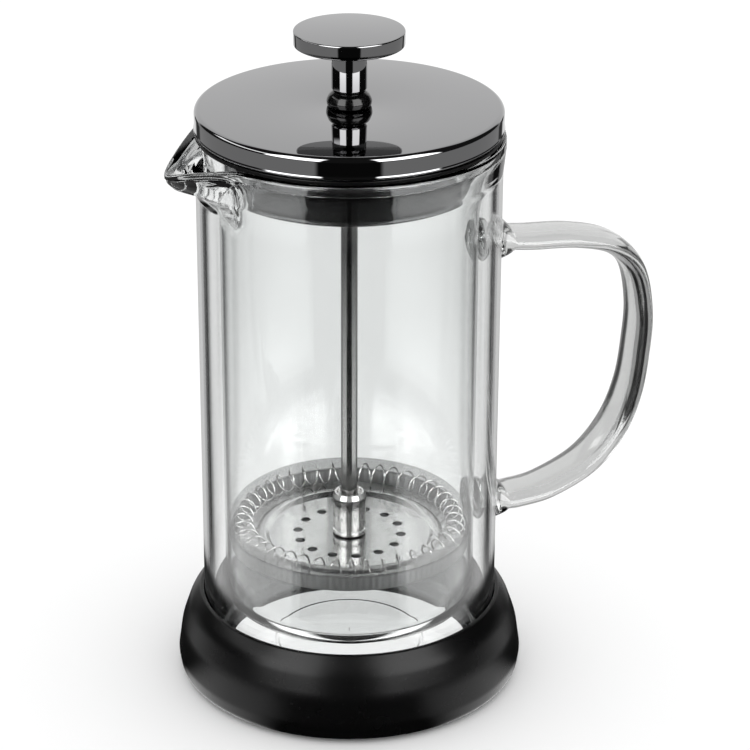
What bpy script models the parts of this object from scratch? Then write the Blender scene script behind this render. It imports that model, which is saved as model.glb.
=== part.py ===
"""Double-wall glass french press with a steel plunger, as an assembly of separate parts.

Metres, +Z up, resting on Z = 0. The handle points along +X and the spout along -X.
The press's own axis is the vertical line at X = AXIS_X, so that the whole object's box is centred on the origin.
"""

import math

import bmesh
import bpy
from mathutils import Matrix, Vector

MM = 0.001

# Driving dimensions, in millimetres. Heights are above the table, radii are from the press's axis.
JACKET_R = 47.0
JACKET_WALL = 2.9
JACKET_BOTTOM = 6.3
HEEL_R = 5.5
BORE_R = 38.8
LINER_WALL = 1.4
LINER_FLOOR = 27.5
SEAM_Z = 164.0
RIM_Z = 182.1
LIP_R = 47.9
SPOUT_REACH = 58.6
SPOUT_DROP = 5.5
SPOUT_HALF_ANGLE = 27.0
HANDLE_REACH = 102.9
STRAP_THICK = 6.5
STRAP_WIDTH = 17.5
BASE_R = 55.7
BASE_RIM_Z = 27.2
LID_R = 47.1
LID_TOP = 191.2
LID_SKIRT_Z = 184.2
BOWL_FLOOR = 166.8
BOWL_R = 38.3
BOWL_SHEET = 0.8
KNOB_R = 16.9
KNOB_TOP = 215.0
KNOB_THICK = 4.5
STEM_R = 5.4
BUSH_TOP = 196.0
BUSH_BOTTOM = 162.2
ROD_R = 2.6
ROD_BOTTOM = 41.0
HUB_R = 5.35
HUB_TOP = 62.0
PLATE_Z = 46.2
MESH_R = 38.55
MESH_RIM_Z = 54.9
COIL_R = 34.2
COIL_MINOR_R = 3.1
COIL_Z = 51.6
COIL_WIRE_R = 0.3
COIL_TURNS = 42
GAP = 0.3

AXIS_X = (SPOUT_REACH - HANDLE_REACH) / 2
LARGE_STEPS = 40
SMALL_STEPS = 24

GLASS = ("clear_glass", (0.92, 0.95, 0.95, 1.0), 0.03, 0.0)
CHROME = ("dark_chrome", (0.33, 0.33, 0.34, 1.0), 0.06, 1.0)
STEEL = ("stainless_steel", (0.6, 0.6, 0.6, 1.0), 0.2, 1.0)
WEAVE = ("woven_steel", (0.42, 0.42, 0.42, 1.0), 0.45, 1.0)
SILICONE = ("black_silicone", (0.02, 0.02, 0.02, 1.0), 0.6, 0.0)
NYLON = ("black_nylon", (0.015, 0.015, 0.015, 1.0), 0.35, 0.0)

for leftover in list(bpy.data.objects):
    bpy.data.objects.remove(leftover, do_unlink=True)

parts = bpy.data.collections.new("french_press")
cutters = bpy.data.collections.new("cutters")
bpy.context.scene.collection.children.link(parts)
bpy.context.scene.collection.children.link(cutters)


def group_empty(name, parent=None):
    """An empty on the press's axis, which the pieces of one moving group are parented to."""
    empty = bpy.data.objects.new(name, None)
    parts.objects.link(empty)
    empty.parent = parent
    if parent is None:
        empty.location.x = AXIS_X * MM
    return empty


carafe = group_empty("carafe_group")
lid = group_empty("lid_group", carafe)
guide = group_empty("guide_group", lid)
plunger = group_empty("plunger_group", guide)


def material(finish):
    name, colour, roughness, metallic = finish
    if name in bpy.data.materials:
        return bpy.data.materials[name]
    made = bpy.data.materials.new(name)
    made.use_nodes = True
    shader = made.node_tree.nodes["Principled BSDF"]
    shader.inputs["Base Color"].default_value = colour
    shader.inputs["Roughness"].default_value = roughness
    shader.inputs["Metallic"].default_value = metallic
    made.diffuse_color = colour
    return made


def add_part(name, mesh, group, finish, collection=parts):
    piece = bpy.data.objects.new(name, mesh)
    collection.objects.link(piece)
    piece.parent = group
    mesh.materials.append(material(finish))
    return piece


def arc(centre_r, centre_z, radius, start, end, count):
    """Points on a round corner of a profile, from angle start to angle end in degrees, both included."""
    angles = [math.radians(start + (end - start) * i / count) for i in range(count + 1)]
    return [(centre_r + radius * math.cos(a), centre_z + radius * math.sin(a)) for a in angles]


def turned(name, profile, group, finish, steps=LARGE_STEPS, closed=True):
    """A turned piece. The profile is (radius, height) in millimetres and runs down the outer side.

    A closed profile is a ring's outline. An open one starts and ends on the axis."""
    mesh = bpy.data.meshes.new(name)
    points = [(r * MM, 0.0, z * MM) for r, z in profile]
    edges = [(i, i + 1) for i in range(len(points) - 1)]
    if closed:
        edges.append((len(points) - 1, 0))
    mesh.from_pydata(points, edges, [])
    piece = add_part(name, mesh, group, finish)
    screw = piece.modifiers.new("turn", "SCREW")
    screw.axis = "Z"
    screw.steps = steps
    screw.render_steps = steps
    screw.use_merge_vertices = True
    screw.merge_threshold = 0.00001
    screw.use_smooth_shade = True
    return piece


def evaluated_mesh(piece):
    """The piece's mesh with its modifiers done, and doubles joined."""
    bpy.context.view_layer.update()
    mesh = bpy.data.meshes.new_from_object(piece.evaluated_get(bpy.context.evaluated_depsgraph_get()))
    work = bmesh.new()
    work.from_mesh(mesh)
    bmesh.ops.remove_doubles(work, verts=work.verts, dist=0.00001)
    work.to_mesh(mesh)
    work.free()
    return mesh


def boolean(piece, cutter, operation):
    step = piece.modifiers.new(operation.lower(), "BOOLEAN")
    step.operation = operation
    step.solver = "EXACT"
    step.object = cutter
    cutter.hide_render = True
    cutter.display_type = "WIRE"


def drill(name, radius, low, high, places, group, sides=12):
    """One cutter of upright round drills, one at each (x, y) place, in millimetres."""
    work = bmesh.new()
    for x, y in places:
        at = Matrix.Translation(Vector((x, y, (low + high) / 2)) * MM)
        bmesh.ops.create_cone(work, cap_ends=True, segments=sides, radius1=radius * MM, radius2=radius * MM,
                              depth=(high - low) * MM, matrix=at)
    mesh = bpy.data.meshes.new(name)
    work.to_mesh(mesh)
    work.free()
    return add_part(name, mesh, group, STEEL, cutters)


def ring_places(radius, count, phase=0.0):
    turns = [math.radians(phase + 360.0 * i / count) for i in range(count)]
    return [(radius * math.cos(a), radius * math.sin(a)) for a in turns]


def hex_nut(name, across_corners, bore, low, high, group, finish):
    """A six-sided nut with a round bore."""
    work = bmesh.new()
    at = Matrix.Translation(Vector((0, 0, (low + high) / 2)) * MM)
    bmesh.ops.create_cone(work, cap_ends=True, segments=6, radius1=across_corners * MM,
                          radius2=across_corners * MM, depth=(high - low) * MM, matrix=at)
    mesh = bpy.data.meshes.new(name)
    work.to_mesh(mesh)
    work.free()
    nut = add_part(name, mesh, group, finish)
    boolean(nut, drill(name + "_drill", bore, low - 1, high + 1, [(0, 0)], group, 16), "DIFFERENCE")
    return nut


# Outer glass wall: an open tube with a flat bottom and rounded heel.
bore = JACKET_R - JACKET_WALL
floor = JACKET_BOTTOM + JACKET_WALL
turned("glass_jacket", [(0, floor)] + arc(bore - 4, floor + 4, 4, -90, 0, 3)
       + [(bore, SEAM_Z), (JACKET_R, SEAM_Z)]
       + arc(JACKET_R - HEEL_R, JACKET_BOTTOM + HEEL_R, HEEL_R, 0, -90, 4) + [(0, JACKET_BOTTOM)],
       carafe, GLASS, closed=False)

# Inner glass vessel: the beaker, its flared mouth with the rim, and the collar that closes the double wall.
liner_r = BORE_R + LINER_WALL
mouth = [(39.2, 171.5), (40.6, 174.5), (42.8, 177.4), (45.0, 180.0)]
rim = [(45.6, 181.4), (46.6, RIM_Z), (47.5, 181.6), (LIP_R, 180.5), (47.7, 178.8), (47.2, 177.2)]
collar = [(JACKET_R, z) for z in (175.3, 173.6, 172.0, 170.4, 168.8, 167.2, SEAM_Z + GAP)]
cavity_top = [(43.6, 171.8), (42.2, 172.7), (40.9, 171.6), (liner_r, 169.0)]
liner = turned("glass_liner", [(0, LINER_FLOOR)] + arc(BORE_R - 5, LINER_FLOOR + 5, 5, -90, 0, 3)
               + [(BORE_R, 168.5)] + mouth + rim + collar + [(bore, SEAM_Z + GAP), (bore, 169.6)] + cavity_top
               + arc(liner_r - 6, LINER_FLOOR + 4.4, 6, 0, -90, 3) + [(0, LINER_FLOOR - 1.6)],
               carafe, GLASS, closed=False)


def smooth_rise(value, low, high):
    t = min(1.0, max(0.0, (value - low) / (high - low)))
    return t * t * (3 - 2 * t)


def pull_spout(piece):
    """Pulls the mouth out along -X into a pointed lip whose tip droops, as a glassblower does."""
    mesh = evaluated_mesh(piece)
    for vertex in mesh.vertices:
        x, y, z = vertex.co / MM
        radius = math.hypot(x, y)
        off = math.degrees(abs(math.atan2(y, -x)))
        if z < 165 or radius < BORE_R - 1 or off > SPOUT_HALF_ANGLE:
            continue
        beak = 1 - off / SPOUT_HALF_ANGLE
        outward = ((SPOUT_REACH - LIP_R) * beak ** 1.2 * smooth_rise(z, 166.5, 172.5)
                   * smooth_rise(radius, BORE_R, 44.5))
        droop = SPOUT_DROP * beak ** 2.2 * smooth_rise(z, 172.5, 181.0)
        vertex.co = Vector((x * (1 + outward / radius), y * (1 + outward / radius), z - droop)) * MM
    piece.modifiers.clear()
    piece.data = mesh


pull_spout(liner)

# Glass handle: one flattened glass strap in a D-shaped loop, welded to the outer wall through two round gobs.
HANDLE_LINE = [(47.5, 141.8), (60, 140.6), (75, 139.2), (88, 135.2), (96.3, 126.5), (99.6, 112), (99.2, 98),
               (97, 83), (91.6, 69.8), (82, 59), (68, 52.4), (57, 50.8), (47.5, 51.2)]
strap_line = bpy.data.curves.new("strap_line", "CURVE")
strap_line.dimensions = "3D"
strap_line.bevel_depth = STRAP_THICK / 2 * MM
strap_line.bevel_resolution = 3
strap_line.use_fill_caps = True
spline = strap_line.splines.new("BEZIER")
spline.bezier_points.add(len(HANDLE_LINE) - 1)
spline.resolution_u = 3
for point, (x, z) in zip(spline.bezier_points, HANDLE_LINE):
    point.co = (x * MM, 0, z * MM)
    point.handle_left_type = point.handle_right_type = "AUTO"
strap_curve = bpy.data.objects.new("strap_curve", strap_line)
parts.objects.link(strap_curve)
strap_mesh = evaluated_mesh(strap_curve)
bpy.data.objects.remove(strap_curve)
strap_mesh.transform(Matrix.Diagonal((1, STRAP_WIDTH / STRAP_THICK, 1, 1)))
strap_mesh.name = "glass_handle"
handle = add_part("glass_handle", strap_mesh, carafe, GLASS)
for label, height in (("upper", HANDLE_LINE[0][1]), ("lower", HANDLE_LINE[-1][1])):
    gob = bmesh.new()
    shape = Matrix.Translation(Vector((48.2, 0, height)) * MM) @ Matrix.Diagonal((4.2, 9.6, 7.4, 1000)) * MM
    bmesh.ops.create_uvsphere(gob, u_segments=14, v_segments=9, radius=1.0, matrix=shape)
    gob_mesh = bpy.data.meshes.new(label + "_gob")
    gob.to_mesh(gob_mesh)
    gob.free()
    boolean(handle, add_part(label + "_gob", gob_mesh, carafe, GLASS, cutters), "UNION")
boolean(handle, drill("wall_room", JACKET_R + GAP, 0, 200, [(0, 0)], carafe, LARGE_STEPS), "DIFFERENCE")

# Base: a flared silicone ring that the glass stands in, open in the middle, with a ledge under the heel.
heel = arc(JACKET_R - HEEL_R, JACKET_BOTTOM + HEEL_R, HEEL_R + GAP, -90, 0, 4)
turned("base_ring", [(JACKET_R + GAP, BASE_RIM_Z), (50.6, BASE_RIM_Z), (51.2, 26.7), (52.4, 23.8), (53.6, 19.2),
                     (54.6, 14), (55.3, 9.5), (BASE_R, 6), (55.3, 3.9), (54.0, 2.1), (52.0, 0.7), (49.5, 0),
                     (43, 0), (42, 1), (42, 3), (40, 3), (40, JACKET_BOTTOM - GAP)] + heel,
       carafe, SILICONE)

# Lid: a pressed cap with a rolled lower edge, a plug bowl under it, and a silicone ring between lid and glass.
cap_edge = arc(LID_R - 1.6, LID_TOP - 1.6, 1.6, 90, 0, 3)
turned("lid_cap", [(4.8, LID_TOP)] + cap_edge
       + [(LID_R, 185.2), (46.9, 184.5), (46.4, LID_SKIRT_Z), (45.9, 184.5), (45.9, 188.8), (44.8, LID_TOP - 1),
          (4.8, LID_TOP - 1)], lid, CHROME)
bowl_outside = [(43.5, 183.4), (43.0, 182.9), (39.6, 182.7), (38.6, 182.2), (BOWL_R, 181.2), (BOWL_R, 169.4)]
bowl_inside = [(BOWL_R - BOWL_SHEET, 169.7), (BOWL_R - BOWL_SHEET, 181.6), (38.0, 182.9), (39.2, 183.5)]
turned("lid_bowl", [(45.4, 188.8), (45.4, 186.2), (43.5, 185.6)] + bowl_outside
       + [(37.5, 167.6), (35.5, BOWL_FLOOR), (4.8, BOWL_FLOOR), (4.8, BOWL_FLOOR + BOWL_SHEET),
          (35.2, BOWL_FLOOR + BOWL_SHEET), (36.8, 168.2)] + bowl_inside
       + [(42.7, 183.7), (42.7, 186.4), (44.6, 187.0), (44.6, 188.8)], lid, CHROME)
turned("lid_seal", [(43.8, 185.3), (45.2, 185.3), (45.3, 183.9), (46.6, 183.9), (46.8, 183.3), (46.6, 182.7),
                    (45.9, 182.5), (43.8, 182.5)], lid, SILICONE)

# Guide bush: a nylon bush with a domed collar, through the whole lid, held under the bowl by a nut.
turned("guide_bush", [(2.95, BUSH_TOP), (5.1, BUSH_TOP), (5.9, 195.3), (6.6, 194.1), (6.9, 192.7), (6.8, 191.5),
                      (4.5, 191.5), (4.5, BUSH_BOTTOM), (2.95, BUSH_BOTTOM)], guide, NYLON, SMALL_STEPS)
hex_nut("bush_nut", 7.6, 4.8, 163.2, BOWL_FLOOR - GAP, guide, STEEL)

# Knob: a solid polished disc on a tubular stem.
turned("knob_disc", [(0, KNOB_TOP)] + arc(KNOB_R - 0.8, KNOB_TOP - 0.8, 0.8, 90, 0, 2)
       + [(KNOB_R, 211.4), (16.2, KNOB_TOP - KNOB_THICK), (0, KNOB_TOP - KNOB_THICK)], plunger, CHROME,
       SMALL_STEPS + 8, closed=False)
stem_top = KNOB_TOP - KNOB_THICK - GAP
turned("knob_stem", [(ROD_R + GAP, stem_top), (STEM_R, stem_top), (STEM_R, 196.8), (5.1, BUSH_TOP + GAP),
                     (ROD_R + GAP, BUSH_TOP + GAP)], plunger, CHROME, SMALL_STEPS)

# Plunger rod: a plain round rod from inside the knob's stem to the nut under the filter.
turned("plunger_rod", [(0, 209.8), (2.2, 209.8), (ROD_R, 209.4), (ROD_R, ROD_BOTTOM + 0.4), (2.2, ROD_BOTTOM),
                       (0, ROD_BOTTOM)], plunger, STEEL, 16, closed=False)

# Filter hub: the turned ferrule on the rod, with a domed shoulder, a socket and a groove.
turned("filter_hub", [(ROD_R + GAP, 60.8), (3.6, 61.6), (4.1, HUB_TOP), (4.9, 61.2), (HUB_R, 59.8), (HUB_R, 49.9),
                      (4.9, 49.5), (4.9, 49.0), (HUB_R, 48.6), (HUB_R, 47.4), (ROD_R + GAP, 47.4)],
       plunger, STEEL, SMALL_STEPS)

# Spring plate: the perforated disc with a raised ring, whose flange carries the coil spring.
plate_top = PLATE_Z + 0.8
plate = turned("spring_plate", [(2.9, plate_top), (26.6, plate_top), (27.6, 48.0), (28.6, 48.3), (29.6, 48.0),
                                (30.6, 47.9), (35.6, 47.9), (35.6, 47.1), (30.2, 47.1), (28.6, 47.5),
                                (27.2, PLATE_Z), (2.9, PLATE_Z)], plunger, STEEL)
holes = ring_places(16.7, 14, 26.0)
boolean(plate, drill("plate_drill", 1.6, 45, 50, holes, plunger, 8), "DIFFERENCE")
boolean(plate, drill("plate_vents", 1.9, 45, 50, ring_places(24.0, 4, 27.0), plunger, 8), "DIFFERENCE")

# Coil spring: wire wound into a closed ring, which presses the mesh's edge to the glass.
coil_line = bpy.data.curves.new("coil_spring", "CURVE")
coil_line.dimensions = "3D"
coil_line.bevel_depth = COIL_WIRE_R * MM
coil_line.bevel_resolution = 1
points_per_turn = 6
count = COIL_TURNS * points_per_turn
coil = coil_line.splines.new("POLY")
coil.points.add(count - 1)
coil.use_cyclic_u = True
for i, point in enumerate(coil.points):
    round_ring = 2 * math.pi * i / count
    round_wire = round_ring * COIL_TURNS
    r = COIL_R + COIL_MINOR_R * math.cos(round_wire)
    z = COIL_Z + COIL_MINOR_R * math.sin(round_wire)
    point.co = (r * math.cos(round_ring) * MM, r * math.sin(round_ring) * MM, z * MM, 1)
coil_spring = bpy.data.objects.new("coil_spring", coil_line)
parts.objects.link(coil_spring)
coil_spring.parent = plunger
coil_line.materials.append(material(STEEL))

# Mesh screen: the woven steel disc with its upturned rim.
turned("mesh_screen", [(2.9, 45.9), (37.4, 45.9), (MESH_R - 0.4, 46.7), (MESH_R - 0.4, MESH_RIM_Z),
                       (MESH_R, MESH_RIM_Z), (MESH_R, 46.3), (37.7, 45.5), (2.9, 45.5)], plunger, WEAVE)

# Cross plate and its nut: the open disc under the mesh, screwed up against it.
cross = turned("cross_plate", [(2.9, 45.2), (33, 45.2), (33, 44.4), (2.9, 44.4)], plunger, STEEL)
boolean(cross, drill("cross_drill", 7.5, 43, 47, ring_places(20.0, 6, 30.0), plunger, 12), "DIFFERENCE")
hex_nut("cross_nut", 5.6, 2.9, 41.6, 44.1, plunger, STEEL)

for piece in parts.objects:
    if piece.type == "MESH":
        piece.data.shade_smooth()
        piece.data.set_sharp_from_angle(angle=math.radians(35))
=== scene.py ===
"""Looks of a double-wall glass french press: blown glass, dark polished steel, silicone and a mesh filter."""

import math

import bmesh
import bpy
import numpy as np
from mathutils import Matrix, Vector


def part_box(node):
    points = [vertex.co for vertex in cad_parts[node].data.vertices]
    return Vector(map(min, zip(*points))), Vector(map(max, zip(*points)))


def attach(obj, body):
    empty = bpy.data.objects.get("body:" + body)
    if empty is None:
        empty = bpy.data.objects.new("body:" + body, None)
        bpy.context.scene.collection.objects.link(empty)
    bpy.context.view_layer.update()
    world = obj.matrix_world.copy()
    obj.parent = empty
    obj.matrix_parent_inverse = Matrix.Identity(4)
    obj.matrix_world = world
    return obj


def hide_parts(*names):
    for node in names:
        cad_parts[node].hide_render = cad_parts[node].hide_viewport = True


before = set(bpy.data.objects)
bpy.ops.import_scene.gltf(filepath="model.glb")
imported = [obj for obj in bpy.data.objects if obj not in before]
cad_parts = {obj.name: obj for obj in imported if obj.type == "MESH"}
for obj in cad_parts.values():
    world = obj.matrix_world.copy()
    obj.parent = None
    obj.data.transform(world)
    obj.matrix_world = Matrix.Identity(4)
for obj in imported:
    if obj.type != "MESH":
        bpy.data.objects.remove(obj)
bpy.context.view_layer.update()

# ---------------------------------------------------------------------------------------------
# The studio: a white table in an even white room, seen with a long lens from above the lip side.
# What polished metal and glass mirror is a second, unseen table, two tall soft lamps in front and a small
# one far to the left.
# ---------------------------------------------------------------------------------------------
MM = 0.001
rod_low, rod_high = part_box("plunger_rod")
axis_x = (rod_low.x + rod_high.x) / 2
CAMERA_SIDE = math.radians(20.0)
CAMERA_AWAY = 833.56 * MM
CAMERA_HEIGHT = 478.1 * MM
CAMERA_DIP = math.radians(24.3)

camera_data = bpy.data.cameras.new("studio_camera")
camera_data.lens = 139.4
camera_data.sensor_width = 36.0
camera_data.shift_x = 0.0343
camera_data.clip_start = 0.01
camera = bpy.data.objects.new("studio_camera", camera_data)
bpy.context.scene.collection.objects.link(camera)
camera.location = (axis_x - CAMERA_AWAY * math.sin(CAMERA_SIDE), -CAMERA_AWAY * math.cos(CAMERA_SIDE),
                   CAMERA_HEIGHT)
camera.rotation_euler = (math.pi / 2 - CAMERA_DIP, 0.0, -CAMERA_SIDE)
bpy.context.scene.camera = camera
bpy.context.scene.view_settings.view_transform = "Standard"
bpy.context.scene.cycles.max_bounces = 28
bpy.context.scene.cycles.transmission_bounces = 26
bpy.context.scene.cycles.glossy_bounces = 12
bpy.context.scene.cycles.transparent_max_bounces = 16


class Nodes:
    """Short calls for building one shader tree: each makes a node, links its inputs and gives its output."""

    def __init__(self, tree):
        self.tree = tree
        tree.nodes.clear()

    def put(self, socket, value):
        if isinstance(value, bpy.types.NodeSocket):
            self.tree.links.new(value, socket)
        else:
            socket.default_value = value

    def add(self, kind, inputs=(), output=0, **settings):
        node = self.tree.nodes.new(kind)
        for name, value in settings.items():
            setattr(node, name, value)
        for key, value in dict(inputs).items():
            self.put(node.inputs[key], value)
        return node.outputs[output] if node.outputs else node

    def math(self, operation, a, b=0.0, c=0.0):
        return self.add("ShaderNodeMath", {0: a, 1: b, 2: c}, operation=operation)

    def spread(self, value, low, high, to_low=0.0, to_high=1.0, kind="SMOOTHSTEP"):
        """Value from low to high carried to to_low..to_high, flat beyond both."""
        return self.add("ShaderNodeMapRange", {"Value": value, "From Min": low, "From Max": high,
                                               "To Min": to_low, "To Max": to_high}, interpolation_type=kind)

    def blend(self, factor, a, b):
        """Plain number a where factor is 0 and b where it is 1."""
        return self.add("ShaderNodeMix", {"Factor": factor, "A": a, "B": b}, data_type="FLOAT")


def sector(nodes, x, y, middle, half, soft):
    """1 inside a compass sector and 0 outside: the cosine of the angle from its middle, cut at its edge."""
    length = nodes.math("SQRT", nodes.math("MULTIPLY_ADD", x, x, nodes.math("MULTIPLY", y, y)))
    along = nodes.math("SUBTRACT", nodes.math("MULTIPLY", x, math.sin(math.radians(middle))),
                       nodes.math("MULTIPLY", y, math.cos(math.radians(middle))))
    cosine = nodes.math("DIVIDE", along, nodes.math("MAXIMUM", length, 1e-6))
    return nodes.spread(cosine, math.cos(math.radians(half + soft)), math.cos(math.radians(half - soft)))


CAMERA_COMPASS = -math.degrees(CAMERA_SIDE)
BEHIND_COMPASS = CAMERA_COMPASS + 180
world = bpy.data.worlds.new("white_room")
bpy.context.scene.world = world
world.use_nodes = True
world.cycles.sampling_method = "NONE"
room = Nodes(world.node_tree)
direction = room.tree.nodes.new("ShaderNodeSeparateXYZ")
room.put(direction.inputs[0], room.add("ShaderNodeTexCoord", output="Generated"))
east, north, up = direction.outputs
path = room.tree.nodes.new("ShaderNodeLightPath")

# Soft lamps stand left and right in front and far left. A white wall stands behind, and the rest is dark.
LAMP_STRENGTH = 6.0
DARK_ROOM = 0.02
GLOW_IN_GLASS = 0.6
lamp_height = room.math("MULTIPLY", room.spread(up, 0.10, 0.16), room.spread(up, 0.86, 0.80))
left_lamp = room.math("MULTIPLY", sector(room, east, north, CAMERA_COMPASS - 42, 21, 2), lamp_height)
right_lamp = room.math("MULTIPLY", sector(room, east, north, CAMERA_COMPASS + 45, 24, 2), lamp_height)
far_lamp = room.math("MULTIPLY", sector(room, east, north, CAMERA_COMPASS - 92, 30, 3),
                     room.math("MULTIPLY", room.spread(up, 0.36, 0.42), room.spread(up, 0.58, 0.52)))
lamps = room.math("ADD", room.math("ADD", left_lamp, right_lamp), room.math("MULTIPLY", far_lamp, 0.5))
high_wall = room.math("MULTIPLY", sector(room, east, north, BEHIND_COMPASS, 42, 4), room.spread(up, 0.80, 0.70))
low_wall = room.blend(sector(room, east, north, BEHIND_COMPASS, 44, 3), 0.45,
                      room.math("MULTIPLY", sector(room, east, north, BEHIND_COMPASS, 29, 3), 0.55))
above = room.spread(up, -0.06, -0.02)
wall = room.blend(above, low_wall, high_wall)
mirrored = room.math("MULTIPLY_ADD", lamps, LAMP_STRENGTH,
                     room.math("MULTIPLY_ADD", wall, 1 - DARK_ROOM, DARK_ROOM))
inside_glass = room.math("MULTIPLY", path.outputs["Is Transmission Ray"], above)
mirrored = room.blend(inside_glass, mirrored, room.math("MAXIMUM", mirrored, GLOW_IN_GLASS))

# Glass bends the view sideways at its edges. It meets white paper opposite each side that the press is seen
# from, and dark room between: some papers hang low for a view from above, and some high for a level view.
def paper(middle, half, low, high):
    """1 on one sheet: a compass sector between two heights of the view, with soft edges."""
    height = room.math("MULTIPLY", room.spread(up, low - 0.02, low + 0.02),
                       room.spread(up, high + 0.02, high - 0.02))
    return room.math("MULTIPLY", sector(room, east, north, middle, half, 4), height)


PAPER_TONE = 0.88
BETWEEN_TONE = 0.12
papers = 0.0
for middle, half, low, high in ((160, 23, -0.75, 0.35), (225, 18, -0.62, -0.26), (45, 18, -0.42, -0.14),
                                (180, 18, -0.14, 0.10), (270, 18, -0.14, 0.10), (160, 170, -1.1, -0.88)):
    papers = room.math("MAXIMUM", papers, paper(middle, half, low, high))
seen_through = room.math("MULTIPLY_ADD", papers, PAPER_TONE, BETWEEN_TONE)
reflected = room.math("GREATER_THAN", path.outputs["Glossy Depth"], 0.5)
mirror_ray = room.math("MULTIPLY", reflected, room.math("SUBTRACT", 1.0, path.outputs["Is Diffuse Ray"]))
BACKDROP = 1.06
LIGHT_ON_OBJECT = 1.25
light = room.blend(path.outputs["Is Diffuse Ray"], BACKDROP, LIGHT_ON_OBJECT)
light = room.blend(path.outputs["Is Transmission Ray"], light, seen_through)
light = room.blend(mirror_ray, light, mirrored)
shell = room.add("ShaderNodeBackground", {"Color": (1, 1, 1, 1), "Strength": light})
room.add("ShaderNodeOutputWorld", {"Surface": shell})


TABLE_WIDTH = 12.0


def table(name, material_name):
    """A square table top at the height that the press stands on, centred under it."""
    half = TABLE_WIDTH / 2
    corners = [(axis_x - half, -half, 0), (axis_x + half, -half, 0), (axis_x + half, half, 0),
               (axis_x - half, half, 0)]
    mesh = bpy.data.meshes.new(name)
    mesh.from_pydata(corners, [], [(0, 1, 2, 3)])
    top = bpy.data.objects.new(name, mesh)
    bpy.context.scene.collection.objects.link(top)
    mesh.materials.append(bpy.data.materials.new(material_name))
    mesh.materials[0].use_nodes = True
    return top, Nodes(mesh.materials[0].node_tree)


white_table, paint = table("table_top", "white_laminate")
white_table.visible_glossy = False
white_table.visible_transmission = False
paint.add("ShaderNodeOutputMaterial", {"Surface": paint.add("ShaderNodeBsdfPrincipled", {
    "Base Color": (0.87, 0.87, 0.87, 1), "Roughness": 0.9, "Specular IOR Level": 0.0})})

# The mirrored table, by distance from the press's axis: dark with two glows near the base, then white behind,
# grey beside and black in front where the camera stands. Behind the press it is open as far as the lid's skirt
# mirrors, so that the glass walls show the room's own low wall there, whatever the height.
BASE_REACH = (0.094, 0.104)
SKIRT_REACH = (0.518, 0.528)
mirror_table, paint = table("table_reflection", "table_reflection")
mirror_table.location.z = -0.2 * MM
for ray in ("camera", "diffuse", "shadow", "volume_scatter"):
    setattr(mirror_table, "visible_" + ray, False)
spot = paint.tree.nodes.new("ShaderNodeSeparateXYZ")
paint.put(spot.inputs[0], paint.add("ShaderNodeTexCoord", output="Object"))
from_axis = paint.math("SUBTRACT", spot.outputs[0], axis_x)
across = spot.outputs[1]
distance = paint.math("SQRT", paint.math("MULTIPLY_ADD", from_axis, from_axis,
                                         paint.math("MULTIPLY", across, across)))
far = paint.spread(distance, *SKIRT_REACH)
gap = paint.blend(far, sector(paint, from_axis, across, CAMERA_COMPASS, 38, 1),
                  sector(paint, from_axis, across, CAMERA_COMPASS, 23, 2))
side = paint.blend(paint.spread(distance, 0.12, 0.40), 1.15, 0.12)
turned_away = sector(paint, from_axis, across, BEHIND_COMPASS, 72, 6)
side = paint.math("MULTIPLY", side, paint.math("MULTIPLY_ADD", turned_away, -0.7, 1.0))
side = paint.blend(far, side, 0.42)
behind = sector(paint, from_axis, across, BEHIND_COMPASS, 30, 2)
flank = sector(paint, from_axis, across, BEHIND_COMPASS, 41, 2)
tone = paint.blend(behind, paint.blend(flank, side, 0.06), 1.0)
tone = paint.math("MULTIPLY", tone, paint.math("MULTIPLY_ADD", gap, -0.98, 1.0))
glow = paint.math("ADD", sector(paint, from_axis, across, CAMERA_COMPASS - 54, 16, 14),
                  sector(paint, from_axis, across, CAMERA_COMPASS + 58, 16, 14))
past_base = paint.spread(distance, *BASE_REACH)
tone = paint.blend(past_base, paint.math("MULTIPLY_ADD", glow, 1.8, DARK_ROOM), tone)
open_behind = paint.math("MULTIPLY", sector(paint, from_axis, across, BEHIND_COMPASS, 62, 2),
                         paint.math("MULTIPLY", past_base, paint.math("SUBTRACT", 1.0, far)))
mirrored_only = paint.math("GREATER_THAN", paint.add("ShaderNodeLightPath", output="Glossy Depth"), 0.5)
paint.add("ShaderNodeOutputMaterial", {"Surface": paint.add("ShaderNodeMixShader", {
    0: paint.math("MULTIPLY", mirrored_only, paint.math("SUBTRACT", 1.0, open_behind)),
    1: paint.add("ShaderNodeBsdfTransparent"), 2: paint.add("ShaderNodeEmission", {"Strength": tone})})})


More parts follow.
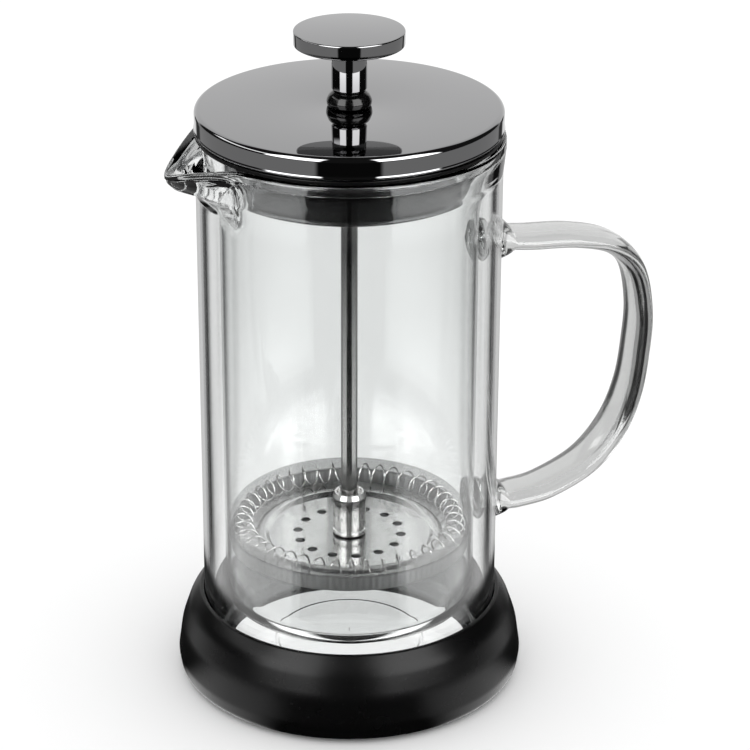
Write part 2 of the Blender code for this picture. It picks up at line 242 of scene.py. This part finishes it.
# ---------------------------------------------------------------------------------------------
# Base ring: moulded black silicone, flared like a foot, that the glass is pushed into.
# A small step inside carries the glass, and the middle is open.
# ---------------------------------------------------------------------------------------------
def rounded(corners, closed=True, bend=7):
    """A profile through (radius, height, rounding) corners in mm. Each corner becomes an arc of that rounding
    that touches both of its straight sides: its centre lies on the corner's bisector, at a distance of rounding
    / sin(half angle). An arc takes at most 0.49 of its shorter side."""
    corners = np.array(corners, float)
    spots = corners[:, :2]
    profile = []
    for k, (spot, rounding) in enumerate(zip(spots, corners[:, 2])):
        if rounding == 0 or (not closed and k in (0, len(spots) - 1)):
            profile.append(spot[None])
            continue
        sides = np.array([spots[k - 1] - spot, spots[(k + 1) % len(spots)] - spot])
        lengths = np.linalg.norm(sides, axis=1)
        sides /= lengths[:, None]
        half_angle = 0.5 * math.acos(np.clip(sides[0] @ sides[1], -1, 1))
        reach = min(rounding / math.tan(half_angle), 0.49 * lengths.min())
        radius = reach * math.tan(half_angle)
        bisector = sides.sum(0) / np.linalg.norm(sides.sum(0))
        centre = spot + bisector * radius / math.sin(half_angle)
        start, end = spot + sides * reach - centre
        turn = math.pi - 2 * half_angle
        t = np.linspace(0, 1, bend)[:, None]
        profile.append(centre + (np.sin((1 - t) * turn) * start + np.sin(t * turn) * end) / math.sin(turn))
    return np.concatenate(profile)


def resampled(profile, closed, step):
    """Adds points along a profile's long straights so that none is longer than step."""
    ends = np.roll(profile, -1, axis=0) if closed else profile[1:]
    starts = profile if closed else profile[:-1]
    made = []
    for start, end in zip(starts, ends):
        count = max(1, math.ceil(np.linalg.norm(end - start) / step))
        made.append(start + (end - start) * (np.arange(count) / count)[:, None])
    if not closed:
        made.append(profile[-1:])
    return np.concatenate(made)


def woven_faces(rows, columns, wrap_rows, wrap_columns):
    """Four-cornered faces between the points of a rows by columns grid, joined round where a way wraps."""
    last_row, last_column = rows - (not wrap_rows), columns - (not wrap_columns)
    i, j = np.meshgrid(np.arange(last_row), np.arange(last_column), indexing="ij")
    i, j = i.ravel(), j.ravel()
    next_i, next_j = (i + 1) % rows, (j + 1) % columns
    return np.stack([i * columns + j, next_i * columns + j,
                     next_i * columns + next_j, i * columns + next_j], axis=1)


def piece_from(name, vertices, faces, sharp=35.0, weld=1e-6):
    """A shown piece from vertices in metres: points closer than weld are merged at poles and seams, faces point
    outwards, and edges over sharp degrees stay crisp."""
    mesh = bpy.data.meshes.new(name)
    mesh.from_pydata(vertices, [], [list(face) for face in faces])
    work = bmesh.new()
    work.from_mesh(mesh)
    bmesh.ops.remove_doubles(work, verts=work.verts, dist=weld)
    bmesh.ops.dissolve_degenerate(work, edges=work.edges, dist=weld)
    bmesh.ops.recalc_face_normals(work, faces=work.faces)
    work.to_mesh(mesh)
    work.free()
    mesh.shade_smooth()
    mesh.set_sharp_from_angle(angle=math.radians(sharp))
    piece = bpy.data.objects.new(name, mesh)
    bpy.context.scene.collection.objects.link(piece)
    return piece


def revolved(profile, turns, start=0.0):
    """The profile carried round the press's axis: x = r cos u, y = r sin u, z from the profile, in mm."""
    u = start + np.linspace(0, 2 * np.pi, turns, endpoint=False)[:, None]
    r, z = profile[:, 0][None], profile[:, 1][None]
    return np.stack([r * np.cos(u), r * np.sin(u), z + 0 * u], axis=-1)


def in_place(points):
    """Millimetres about the press's axis to metres in the frame, as a flat list of points."""
    points = np.asarray(points, float).reshape(-1, 3) * MM
    return points + np.array([axis_x, 0, 0])


def turned(name, profile, turns=160, closed=True):
    """A turned piece: the profile carried round the axis. An open profile starts and ends on the axis."""
    points = revolved(profile, turns)
    faces = woven_faces(turns, len(profile), True, closed)
    return piece_from(name, in_place(points), faces)


def finish(name, colour, metallic, **inputs):
    """A new material with one Principled shader. Gives the material, its node maker and the shader node."""
    made = bpy.data.materials.new(name)
    made.use_nodes = True
    maker = Nodes(made.node_tree)
    shader = maker.tree.nodes.new("ShaderNodeBsdfPrincipled")
    shader.inputs["Base Color"].default_value = (*colour, 1.0)
    shader.inputs["Metallic"].default_value = metallic
    for key, value in inputs.items():
        shader.inputs[key.replace("_", " ")].default_value = value
    maker.add("ShaderNodeOutputMaterial", {"Surface": shader.outputs[0]})
    return made, maker, shader


def noise(maker, scale, detail=3.0, stretch=(1, 1, 1)):
    """Noise in the piece's own space, stretched along an axis by a stretch under 1."""
    place = maker.add("ShaderNodeMapping", {"Vector": maker.add("ShaderNodeTexCoord", output="Object"),
                                            "Scale": stretch})
    return maker.add("ShaderNodeTexNoise", {"Vector": place, "Scale": scale, "Detail": detail})


def bumped(maker, shader, height, strength, depth):
    """Lets the height pattern tilt the shader's surface, by up to depth in metres."""
    maker.put(shader.inputs["Normal"], maker.add("ShaderNodeBump", {"Height": height, "Strength": strength,
                                                                    "Distance": depth}))


def dress(piece, material, body, slot, *nodes):
    """Gives the piece its material and its CAD body, and hides the CAD nodes that it stands for. slot, its
    record slot, is not used.
    """
    piece.data.materials.clear()
    piece.data.materials.append(material)
    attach(piece, body)
    if nodes:
        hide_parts(*nodes)


BASE_PROFILE = rounded([(47.2, 27.9, 0.3), (48.4, 27.9, 0.7), (51.6, 23.6, 14), (54.4, 15.5, 20),
                        (55.7, 6.5, 5), (55.0, 1.9, 3), (51.5, 0, 3), (43, 0, 0.6), (42, 3, 0.6), (40, 3, 0.5),
                        (40, 6.2, 0.5), (47.2, 6.2, 5.5)])
SILICONE_BLACK = (0.0015, 0.0015, 0.0016)
DUST_GREY = (0.03, 0.03, 0.03)
silicone, maker, shader = finish("black_silicone", SILICONE_BLACK, 0.0, Specular_IOR_Level=0.18)
grain = noise(maker, 5200.0, 2.0)
handled = noise(maker, 38.0, 4.0)
dust = maker.spread(noise(maker, 900.0, 1.0), 0.70, 0.78)
maker.put(shader.inputs["Roughness"], maker.spread(handled, 0.3, 0.7, 0.25, 0.30, "LINEAR"))
maker.put(shader.inputs["Base Color"], maker.add("ShaderNodeMix", {
    "Factor": maker.math("MULTIPLY", dust, 0.25), 6: (*SILICONE_BLACK, 1), 7: (*DUST_GREY, 1)},
    output=2, data_type="RGBA"))
bumped(maker, shader, grain, 0.22, 0.00005)
base = turned("base_ring_foot", resampled(BASE_PROFILE, True, 3.0), 200)
dress(base, silicone, "carafe", "black_silicone", "base_ring")


# ---------------------------------------------------------------------------------------------
# Carafe glass: a blown borosilicate beaker inside a straight outer wall, fused at the flared mouth.
# The mouth is pulled out on the lip side. A pinhole in the outer floor let the hot air out when it was made.
# ---------------------------------------------------------------------------------------------
jacket_low, jacket_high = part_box("glass_jacket")
liner_low, liner_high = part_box("glass_liner")
OUTER_R = (jacket_high.y - jacket_low.y) / 2 / MM
BORE_R = 38.8
LINER_FLOOR = liner_low.z / MM
FLOOR_TOP = LINER_FLOOR + 1.6
RIM_TOP = liner_high.z / MM
LIP_REACH = (axis_x - liner_low.x) / MM
JACKET_FLOOR = jacket_low.z / MM
WALL = 2.9
VENT_R = 0.1
RIM_UP = RIM_TOP + 0.2
MOUTH_R = 47.9
inner_side = resampled(rounded([
    (0, FLOOR_TOP, 0), (BORE_R, FLOOR_TOP, 5), (BORE_R, 161.0, 25), (43.6, 179.0, 4), (44.4, RIM_UP, 1.0),
    (46.0, RIM_UP, 0)], False), False, 2.5)[:-1]
outer_side = resampled(rounded([
    (46.0, RIM_UP, 0), (MOUTH_R, RIM_UP, 1.4), (MOUTH_R, 179.5, 4), (OUTER_R, 171.0, 12),
    (OUTER_R, JACKET_FLOOR, 5.5), (24.4, JACKET_FLOOR, 0.5), (23.6, JACKET_FLOOR + 0.25, 0.6),
    (22.8, JACKET_FLOOR, 0.5), (0.5, JACKET_FLOOR, 0), (VENT_R, JACKET_FLOOR, 0)], False), False, 2.5)
hollow_side = resampled(rounded([
    (VENT_R, JACKET_FLOOR + WALL, 0), (0.5, JACKET_FLOOR + WALL, 0), (OUTER_R - WALL, JACKET_FLOOR + WALL, 4),
    (OUTER_R - WALL, 171.5, 14), (45.4, 178.9, 0.22), (44.9, 178.9, 0.22), (39.9, 160.8, 25),
    (39.9, LINER_FLOOR, 5.2), (0, LINER_FLOOR, 0)], False), False, 2.5)
glass_profile = np.concatenate([inner_side, outer_side, hollow_side])
INNER, OUTER, HOLLOW = 0, 2, 3
layer = np.repeat([INNER, OUTER, HOLLOW], [len(inner_side), len(outer_side), len(hollow_side)])


def rise(value, low, high):
    """0 below low and 1 above high, joined by the smooth cubic 3t^2 - 2t^3."""
    t = np.clip((value - low) / (high - low), 0, 1)
    return t * t * (3 - 2 * t)


def pulled_lip(points, layer):
    """The mouth drawn out into a beak towards -X. Seen from above, the beak's two sides are the straight
    tangents from the round mouth to its tip: at an angle a from the tip, the side lies at mouth / cos(T - a),
    with T the angle where it leaves the round. The root of a^2 + blunt^2 in place of a rounds the tip. A
    point's share is how far that is outside the round, 1 at the tip. It moves outwards by its share, more the
    higher it is, and droops. The hollow between the walls ends lower there."""
    x, y, z = np.moveaxis(points, -1, 0)
    radius = np.maximum(np.hypot(x, y), 1e-9)
    blunt = 0.06
    off = np.hypot(np.arctan2(y, -x), blunt)
    leave = math.acos(MOUTH_R / LIP_REACH)
    side = np.where(off < leave, 1 / np.cos(leave - off) - 1, 0)
    share = side / (1 / math.cos(leave - blunt) - 1)
    start = np.where(layer == OUTER, 168.6, 174.5)
    full = np.where(layer == OUTER, 172.6, 181.5)
    outward = np.where(layer != HOLLOW, (LIP_REACH - MOUTH_R) * share * rise(z, start, full), 0)
    droop = np.where(layer != HOLLOW, 5.8 * share * rise(z, 173.5, 182.0), 0)
    sunk = np.where(layer == HOLLOW, 8.0 * rise(share, 0.0, 0.5) * rise(z, 150.0, 179.0), 0)
    scale = 1 + outward / radius
    return np.stack([x * scale, y * scale, z - droop - sunk], axis=-1)


glass, maker, shader = finish("clear_glass", (0.985, 0.992, 0.99), 0.0, IOR=1.47, Transmission_Weight=1.0)
waves = noise(maker, 26.0, 2.0, (1, 1, 0.18))
smears = noise(maker, 60.0, 5.0, (1, 1, 0.5))
maker.put(shader.inputs["Roughness"], maker.spread(smears, 0.62, 0.86, 0.0, 0.03))
bumped(maker, shader, waves, 0.10, 0.0004)
GLASS_TURNS = 230
points = pulled_lip(revolved(glass_profile, GLASS_TURNS), layer)
carafe_glass = piece_from("carafe_glass", in_place(points),
                          woven_faces(GLASS_TURNS, len(glass_profile), True, False), 180.0)
dress(carafe_glass, glass, "carafe", "clear_glass", "glass_jacket", "glass_liner")
carafe_glass.visible_diffuse = False
carafe_glass.visible_shadow = False


# ---------------------------------------------------------------------------------------------
# Handle: a solid glass strap bent into a D while hot. Its two ends are pressed onto the outer wall
# as round gobs.
# ---------------------------------------------------------------------------------------------
HANDLE_LINE = np.array([(45.7, 141.9), (52, 141.6), (60, 140.6), (75, 139.2), (88, 135.2), (96.3, 126.5),
                        (99.6, 112), (99.2, 98), (97, 83), (91.6, 69.8), (82, 59), (68, 52.4), (57, 50.8),
                        (52, 50.9), (45.7, 51.2)], float)


def smooth_line(points, between):
    """A line through all the points: on each stretch, the Catmull-Rom cubic of the four nearest points."""
    padded = np.concatenate([2 * points[:1] - points[1:2], points, 2 * points[-1:] - points[-2:-1]])
    t = (np.arange(between) / between)[:, None]
    made = []
    for a, b, c, d in zip(padded, padded[1:], padded[2:], padded[3:]):
        made.append(0.5 * (2 * b + (c - a) * t + (2 * a - 5 * b + 4 * c - d) * t ** 2
                           + (3 * b - a - 3 * c + d) * t ** 3))
    made.append(points[-1:])
    return np.concatenate(made)


def strap(line, half_wide, half_thick, squareness, sides):
    """A flat strap along a line in the XZ plane. Its cut is the superellipse |a/w|^n + |b/t|^n = 1, with its
    width along Y and its thickness across the line."""
    tangent = np.gradient(line, axis=0)
    tangent /= np.linalg.norm(tangent, axis=1)[:, None]
    normal = np.stack([-tangent[:, 1], tangent[:, 0]], axis=1)
    v = np.linspace(0, 2 * np.pi, sides, endpoint=False)
    cosine = np.sign(np.cos(v)) * np.abs(np.cos(v)) ** (2 / squareness)
    sine = np.sign(np.sin(v)) * np.abs(np.sin(v)) ** (2 / squareness)
    across = half_thick[:, None] * sine
    x = line[:, :1] + normal[:, :1] * across
    z = line[:, 1:] + normal[:, 1:] * across
    return np.stack([x, half_wide[:, None] * cosine, z], axis=-1)


line = smooth_line(HANDLE_LINE, 14)
from_wall = line[:, 0] - OUTER_R
GOB_REACH = 5.6
gob = np.sqrt(np.clip(1 - (np.clip(from_wall, 0, None) / GOB_REACH) ** 2, 0, 1))
half_thick = 3.25 + 3.6 * gob
half_wide = 8.75 - 0.8 * gob
points = strap(line, half_wide, half_thick, squareness=2.05, sides=48)
first, last = points[0], points[-1]
shrink = np.array([0.001, 0.3, 0.6, 0.85])[:, None, None]
points = np.concatenate([first.mean(0) + shrink * (first - first.mean(0)), points,
                         last.mean(0) + shrink[::-1] * (last - last.mean(0))])
touching = np.sqrt((OUTER_R + 0.05) ** 2 - points[..., 1] ** 2)
points[..., 0] = np.maximum(points[..., 0], touching)
faces = woven_faces(points.shape[0], points.shape[1], False, True)
ends = [np.arange(points.shape[1])[::-1], np.arange(points.shape[1]) + (points.shape[0] - 1) * points.shape[1]]
faces = [list(face) for face in faces] + [list(end) for end in ends]
# The strap's glass colour is a 0.6 grey: painted shade for the darker view through the thick solid strap. The
# glass itself is as clear as the carafe's.
strap_glass_painted_shade, maker, shader = finish("handle_glass_painted_shade", (0.6, 0.605, 0.6), 0.0, IOR=1.47, Transmission_Weight=1.0)
bumped(maker, shader, noise(maker, 40.0, 2.0), 0.08, 0.0003)
maker.put(shader.inputs["Roughness"], maker.spread(noise(maker, 60.0, 5.0), 0.62, 0.86, 0.0, 0.03))
handle = piece_from("glass_handle_strap", in_place(points), faces, 60.0, 1e-8)
dress(handle, strap_glass_painted_shade, "carafe", "clear_glass", "glass_handle")
handle.visible_diffuse = False
handle.visible_shadow = False


# ---------------------------------------------------------------------------------------------
# Lid: a pressed steel cap with a rolled edge over a dished plug, both polished and dark plated.
# A thin silicone ring between them rests on the glass rim.
# ---------------------------------------------------------------------------------------------
CAP_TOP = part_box("lid_cap")[1].z / MM
chrome, maker, shader = finish("dark_chrome", (0.285, 0.285, 0.289), 1.0)
polish = noise(maker, 55.0, 5.0)
hairlines = noise(maker, 420.0, 2.0, (1, 0.06, 1))
maker.put(shader.inputs["Roughness"], maker.spread(polish, 0.35, 0.8, 0.018, 0.055, "LINEAR"))
bumped(maker, shader, hairlines, 0.015, 0.00004)
cap = turned("lid_cap_polished", rounded([
    (4.8, CAP_TOP, 0.3), (47.1, CAP_TOP, 1.6), (47.1, 185.4, 0.4), (47.35, 184.9, 0.4), (46.9, 184.15, 0.4),
    (46.1, 184.4, 0.3), (46.0, CAP_TOP - 0.9, 0.9), (4.8, CAP_TOP - 0.9, 0.3)]), 240)
dress(cap, chrome, "lid", "dark_chrome", "lid_cap")
bowl = turned("lid_bowl_polished", rounded([
    (45.4, 188.8, 0.3), (45.4, 186.0, 0.3), (43.6, 185.7, 0.5), (43.6, 183.0, 0.4), (38.35, 182.8, 1.3),
    (38.35, 166.5, 2.8), (4.8, 166.5, 0.2), (4.8, 167.3, 0.2), (37.55, 167.3, 2.1), (37.55, 183.6, 1.0),
    (42.8, 183.7, 0.4), (42.8, 186.5, 0.4), (44.6, 186.8, 0.3), (44.6, 188.8, 0.3)]), 240)
dress(bowl, chrome, "lid", "dark_chrome", "lid_bowl")
seal = turned("lid_seal_ring", rounded([
    (43.9, 185.2, 0.3), (45.2, 185.2, 0.3), (45.4, 183.95, 0.3), (47.0, 183.95, 0.3), (47.1, 182.9, 0.4),
    (46.6, 182.55, 0.3), (43.9, 182.55, 0.3)]), 200)
dress(seal, silicone, "lid", "black_silicone", "lid_seal")


# ---------------------------------------------------------------------------------------------
# Guide: a turned black nylon bush with a domed collar, which the rod runs in. A hexagon nut under
# the plug holds it in the lid.
# ---------------------------------------------------------------------------------------------
nylon, maker, shader = finish("black_nylon", (0.003, 0.003, 0.003), 0.0, Specular_IOR_Level=0.35)
maker.put(shader.inputs["Roughness"], maker.spread(noise(maker, 300.0, 3.0), 0.3, 0.7, 0.10, 0.20, "LINEAR"))
bumped(maker, shader, noise(maker, 900.0, 2.0, (1, 1, 6)), 0.05, 0.00003)
bush = turned("guide_bush_turned", rounded([
    (2.95, 196.0, 0.2), (4.9, 196.0, 0.4), (6.1, 194.9, 2.0), (6.95, 193.0, 1.6), (6.7, 191.5, 0.5),
    (4.5, 191.5, 0.2), (4.5, 162.2, 0.4), (2.95, 162.2, 0.2)]), 96)
dress(bush, nylon, "guide", "black_nylon", "guide_bush")

steel, maker, shader = finish("stainless_steel", (0.56, 0.555, 0.55), 1.0)
rings = noise(maker, 260.0, 3.0, (0.15, 0.15, 9.0))
wiped = noise(maker, 70.0, 4.0)
maker.put(shader.inputs["Roughness"], maker.spread(wiped, 0.3, 0.75, 0.10, 0.20, "LINEAR"))
bumped(maker, shader, rings, 0.10, 0.00003)


def hexagon_nut(name, corner_r, bore_r, low, high):
    """A chamfered nut. Its outline is the flat's distance from the axis over the cosine of the angle from the
    nearest flat's middle, and its top and bottom are cut back to a circle."""
    turns = 96
    u = np.linspace(0, 2 * np.pi, turns, endpoint=False)
    flat_r = corner_r * math.cos(math.pi / 6)
    hexagon = flat_r / np.cos((u % (math.pi / 3)) - math.pi / 6)
    circle = np.full_like(u, flat_r * 0.98)
    slope = (hexagon - circle) * math.tan(math.radians(30))
    bore = np.full_like(u, bore_r)
    rings = [(bore, high + 0 * u), (circle, high + 0 * u), (hexagon, high - slope), (hexagon, low + slope),
             (circle, low + 0 * u), (bore, low + 0 * u)]
    points = np.stack([np.stack([r * np.cos(u), r * np.sin(u), z], axis=-1) for r, z in rings], axis=1)
    return piece_from(name, in_place(points), woven_faces(turns, len(rings), True, True), 20.0)


nut = hexagon_nut("bush_nut_hexagon", corner_r=7.6, bore_r=4.8, low=163.2, high=166.4)
dress(nut, steel, "guide", "stainless_steel", "bush_nut")


# ---------------------------------------------------------------------------------------------
# Knob and rod: a solid polished disc on a short tube, screwed to the top of a plain steel rod.
# ---------------------------------------------------------------------------------------------
KNOB_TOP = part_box("knob_disc")[1].z / MM
knob = turned("knob_disc_polished", rounded([
    (0, KNOB_TOP, 0), (16.9, KNOB_TOP, 0.45), (16.9, KNOB_TOP - 4.5, 0.5), (0, KNOB_TOP - 4.5, 0)], False), 160,
    closed=False)
dress(knob, chrome, "plunger", "dark_chrome", "knob_disc")
stem = turned("knob_stem_polished", rounded([
    (2.9, 210.2, 0.1), (5.4, 210.2, 0.2), (5.4, 196.9, 0.5), (5.0, 196.3, 0.3), (2.9, 196.3, 0.1)]), 96)
dress(stem, chrome, "plunger", "dark_chrome", "knob_stem")
rod = turned("plunger_rod_drawn", resampled(rounded([
    (0, 209.8, 0), (2.6, 209.8, 0.4), (2.6, 41.0, 0.4), (0, 41.0, 0)], False), False, 6.0), 48, closed=False)
dress(rod, steel, "plunger", "stainless_steel", "plunger_rod")


# ---------------------------------------------------------------------------------------------
# Filter plates: a turned ferrule clamps a perforated steel disc with a pressed ring. Below the mesh
# an open cross plate and a nut close the stack.
# ---------------------------------------------------------------------------------------------
hub = turned("filter_hub_turned", rounded([
    (2.9, 60.4, 0.2), (3.7, 60.6, 0.2), (4.0, 62.0, 0.3), (4.6, 61.9, 0.4), (5.35, 60.2, 1.2),
    (5.35, 50.0, 0.2), (4.95, 49.7, 0.1), (4.95, 49.0, 0.1), (5.35, 48.7, 0.2), (5.35, 47.4, 0.4),
    (2.9, 47.4, 0.1)]), 96)
dress(hub, steel, "plunger", "stainless_steel", "filter_hub")


plate_steel, maker, shader = finish("plate_steel", (0.43, 0.428, 0.425), 1.0)
maker.put(shader.inputs["Roughness"], maker.spread(noise(maker, 70.0, 4.0), 0.3, 0.75, 0.12, 0.24, "LINEAR"))
bumped(maker, shader, noise(maker, 420.0, 3.0), 0.08, 0.00003)


def pierced_plate(name, inner_strip, outer_strip, holes, hole_r, ring_r, phase, side=6):
    """A round plate with a ring of holes. Each hole sits in a cell between two circles and two radii: straight
    lines run from the hole's edge to the cell's. inner_strip and outer_strip are the profiles that close the
    plate inside and outside that band, from its top to its underside."""
    rings = 4
    turns = holes * side
    start = phase - math.pi / holes
    r_in, r_out = inner_strip[0][0], outer_strip[0][0]
    top, low = inner_strip[0][1], inner_strip[-1][1]
    half = math.pi / holes
    sweep = np.linspace(-half, half, side, endpoint=False)
    run = np.arange(side) / side
    radius = np.concatenate([np.full(side, r_out), r_out + (r_in - r_out) * run,
                             np.full(side, r_in), r_in + (r_out - r_in) * run])
    angle = np.concatenate([sweep, np.full(side, half), -sweep, np.full(side, -half)])
    edge = np.stack([radius * np.cos(angle), radius * np.sin(angle)], axis=-1)
    middle = np.array([ring_r, 0.0])
    ray = edge - middle
    hole = middle + hole_r * ray / np.linalg.norm(ray, axis=1)[:, None]
    t = np.linspace(0, 1, rings)[:, None, None]
    upper = np.concatenate([edge[None] * (1 - t) + hole[None] * t, hole[None] + 0 * t[:1]])
    height = np.concatenate([np.full(rings, top), [low]])
    lower = (edge[None] * t + hole[None] * (1 - t))[1:]
    flat = np.concatenate([upper, lower])
    height = np.concatenate([height, np.full(rings - 1, low)])
    cell = np.concatenate([flat, np.broadcast_to(height[:, None, None], flat.shape[:2] + (1,))], axis=-1)
    parts, faces, used = [], [], 0
    for k in range(holes):
        a = phase + 2 * math.pi * k / holes
        spin = np.array([[math.cos(a), math.sin(a), 0], [-math.sin(a), math.cos(a), 0], [0, 0, 1]])
        parts.append((cell @ spin).reshape(-1, 3))
        faces.append(woven_faces(cell.shape[0], cell.shape[1], False, True) + used)
        used += len(parts[-1])
    for strip in (inner_strip, outer_strip):
        parts.append(revolved(np.array(strip, float), turns, start).reshape(-1, 3))
        faces.append(woven_faces(turns, len(strip), True, False) + used)
        used += len(parts[-1])
    return piece_from(name, in_place(np.concatenate(parts)), np.concatenate(faces), 40.0, 5e-6)


plate_outline = rounded([
    (21.4, 47.0, 0), (25.6, 47.0, 1.0), (27.2, 48.3, 1.0), (28.8, 48.3, 1.0), (30.2, 47.6, 0.8),
    (35.6, 47.6, 0.3), (35.6, 47.0, 0.3), (29.9, 47.0, 0.8), (28.5, 47.6, 0.8), (27.4, 47.6, 0.8),
    (25.9, 46.2, 1.0), (21.4, 46.2, 0)], False, 5)
plate = pierced_plate("spring_plate_pierced", [(12, 47.0), (2.9, 47.0), (2.9, 46.2), (12, 46.2)], plate_outline,
                      holes=14, hole_r=1.6, ring_r=16.7, phase=math.radians(26.0))
dress(plate, plate_steel, "plunger", "stainless_steel", "spring_plate")
cross = pierced_plate("cross_plate_open", [(11.5, 45.2), (2.9, 45.2), (2.9, 44.4), (11.5, 44.4)],
                      rounded([(28.5, 45.2, 0), (33, 45.2, 0.3), (33, 44.4, 0.3), (28.5, 44.4, 0)], False),
                      holes=6, hole_r=7.5, ring_r=20.0, phase=math.radians(30.0), side=16)
dress(cross, plate_steel, "plunger", "stainless_steel", "cross_plate")
nut = hexagon_nut("cross_nut_hexagon", corner_r=5.6, bore_r=2.9, low=41.6, high=44.1)
dress(nut, steel, "plunger", "stainless_steel", "cross_nut")


# ---------------------------------------------------------------------------------------------
# Mesh and coil: a cup of woven steel wire with a crimped upturned edge, pressed outwards by a coil
# spring that is closed into a ring.
# ---------------------------------------------------------------------------------------------
def crimped_cup(profile, turns, pleats, depth, low, high):
    """The cup's profile carried round. Its upturned edge is gathered: the radius swings by depth along pleats
    waves, which fade out below low and grow weaker towards high."""
    points = revolved(profile, turns)
    x, y, z = np.moveaxis(points, -1, 0)
    radius = np.hypot(x, y)
    wave = np.sin(pleats * np.arctan2(y, x)) * depth
    share = rise(radius, 36.0, 38.0) * rise(z, low - 1.0, low) * (1 - 0.7 * rise(z, low, high))
    scale = 1 - (depth + wave) * share / radius
    return np.stack([x * scale, y * scale, z], axis=-1)


MESH_RIM = 54.9
cup_profile = resampled(rounded([
    (2.9, 45.9, 0), (37.6, 45.9, 0.9), (38.3, MESH_RIM, 0.1), (38.7, MESH_RIM, 0.1), (38.0, 45.5, 1.2),
    (2.9, 45.5, 0)]), True, 1.2)
weave, maker, shader = finish("woven_steel", (0.36, 0.36, 0.36), 0.85)
place = maker.add("ShaderNodeTexCoord", output="Object")
axes = maker.tree.nodes.new("ShaderNodeSeparateXYZ")
maker.put(axes.inputs[0], place)
from_axis = maker.math("SUBTRACT", axes.outputs[0], axis_x)
round_angle = maker.math("ARCTAN2", axes.outputs[1], from_axis)
WIRE_COUNT = 720
PITCH = 2 * math.pi / (0.34 * MM)
warp = maker.math("SINE", maker.math("MULTIPLY", round_angle, WIRE_COUNT))
weft = maker.math("SINE", maker.math("MULTIPLY", axes.outputs[2], PITCH))
straight = maker.math("SINE", maker.math("MULTIPLY", axes.outputs[0], PITCH))
crossing = maker.math("SINE", maker.math("MULTIPLY", axes.outputs[1], PITCH))
upright = maker.spread(axes.outputs[2], 0.0460, 0.0464)
wires = maker.blend(upright, maker.math("MAXIMUM", straight, crossing), maker.math("MAXIMUM", warp, weft))
bumped(maker, shader, wires, 0.5, 0.00008)
maker.put(shader.inputs["Roughness"], maker.spread(noise(maker, 120.0, 3.0), 0.3, 0.7, 0.32, 0.46, "LINEAR"))
maker.put(shader.inputs["Alpha"], maker.spread(axes.outputs[2], 0.0500, 0.0518, 0.9, 0.3))
CUP_TURNS = 480
cup_points = crimped_cup(cup_profile, CUP_TURNS, pleats=120, depth=0.12, low=46.5, high=MESH_RIM)
cup = piece_from("mesh_screen_cup", in_place(cup_points),
                 woven_faces(CUP_TURNS, len(cup_profile), True, True), 50.0)
dress(cup, weave, "plunger", "woven_steel", "mesh_screen")


def ring_coil(ring_r, coil_r, height, wire_r, coils, per_coil, sides):
    """Wire wound round a ring: the line is a helix on a torus, and the wire's cut is a circle square to it. The
    coils lean and crowd a little, as a stretched spring's do."""
    t = np.linspace(0, 2 * np.pi, coils * per_coil, endpoint=False)
    crowd = 0.10 * np.sin(3 * t + 0.6) + 0.07 * np.sin(7 * t) + 0.035 * np.sin(11 * t + 2)
    winding = coils * t + crowd * 5
    swell = coil_r * (1 + 0.02 * np.sin(5 * t + 1))
    r = ring_r + swell * np.cos(winding)
    centre = np.stack([r * np.cos(t), r * np.sin(t), height + swell * np.sin(winding)], axis=-1)
    along = np.roll(centre, -1, axis=0) - np.roll(centre, 1, axis=0)
    along /= np.linalg.norm(along, axis=1)[:, None]
    outward = centre - np.stack([ring_r * np.cos(t), ring_r * np.sin(t), height + 0 * t], axis=-1)
    outward -= (outward * along).sum(1)[:, None] * along
    outward /= np.linalg.norm(outward, axis=1)[:, None]
    third = np.cross(along, outward)
    v = np.linspace(0, 2 * np.pi, sides, endpoint=False)[None, :, None]
    return centre[:, None] + wire_r * (np.cos(v) * outward[:, None] + np.sin(v) * third[:, None])


points = ring_coil(ring_r=34.2, coil_r=3.1, height=51.6, wire_r=0.3, coils=42, per_coil=28, sides=8)
coil = piece_from("coil_spring_wound", in_place(points), woven_faces(*points.shape[:2], True, True), 180.0)
dress(coil, steel, "plunger", "stainless_steel", "coil_spring")
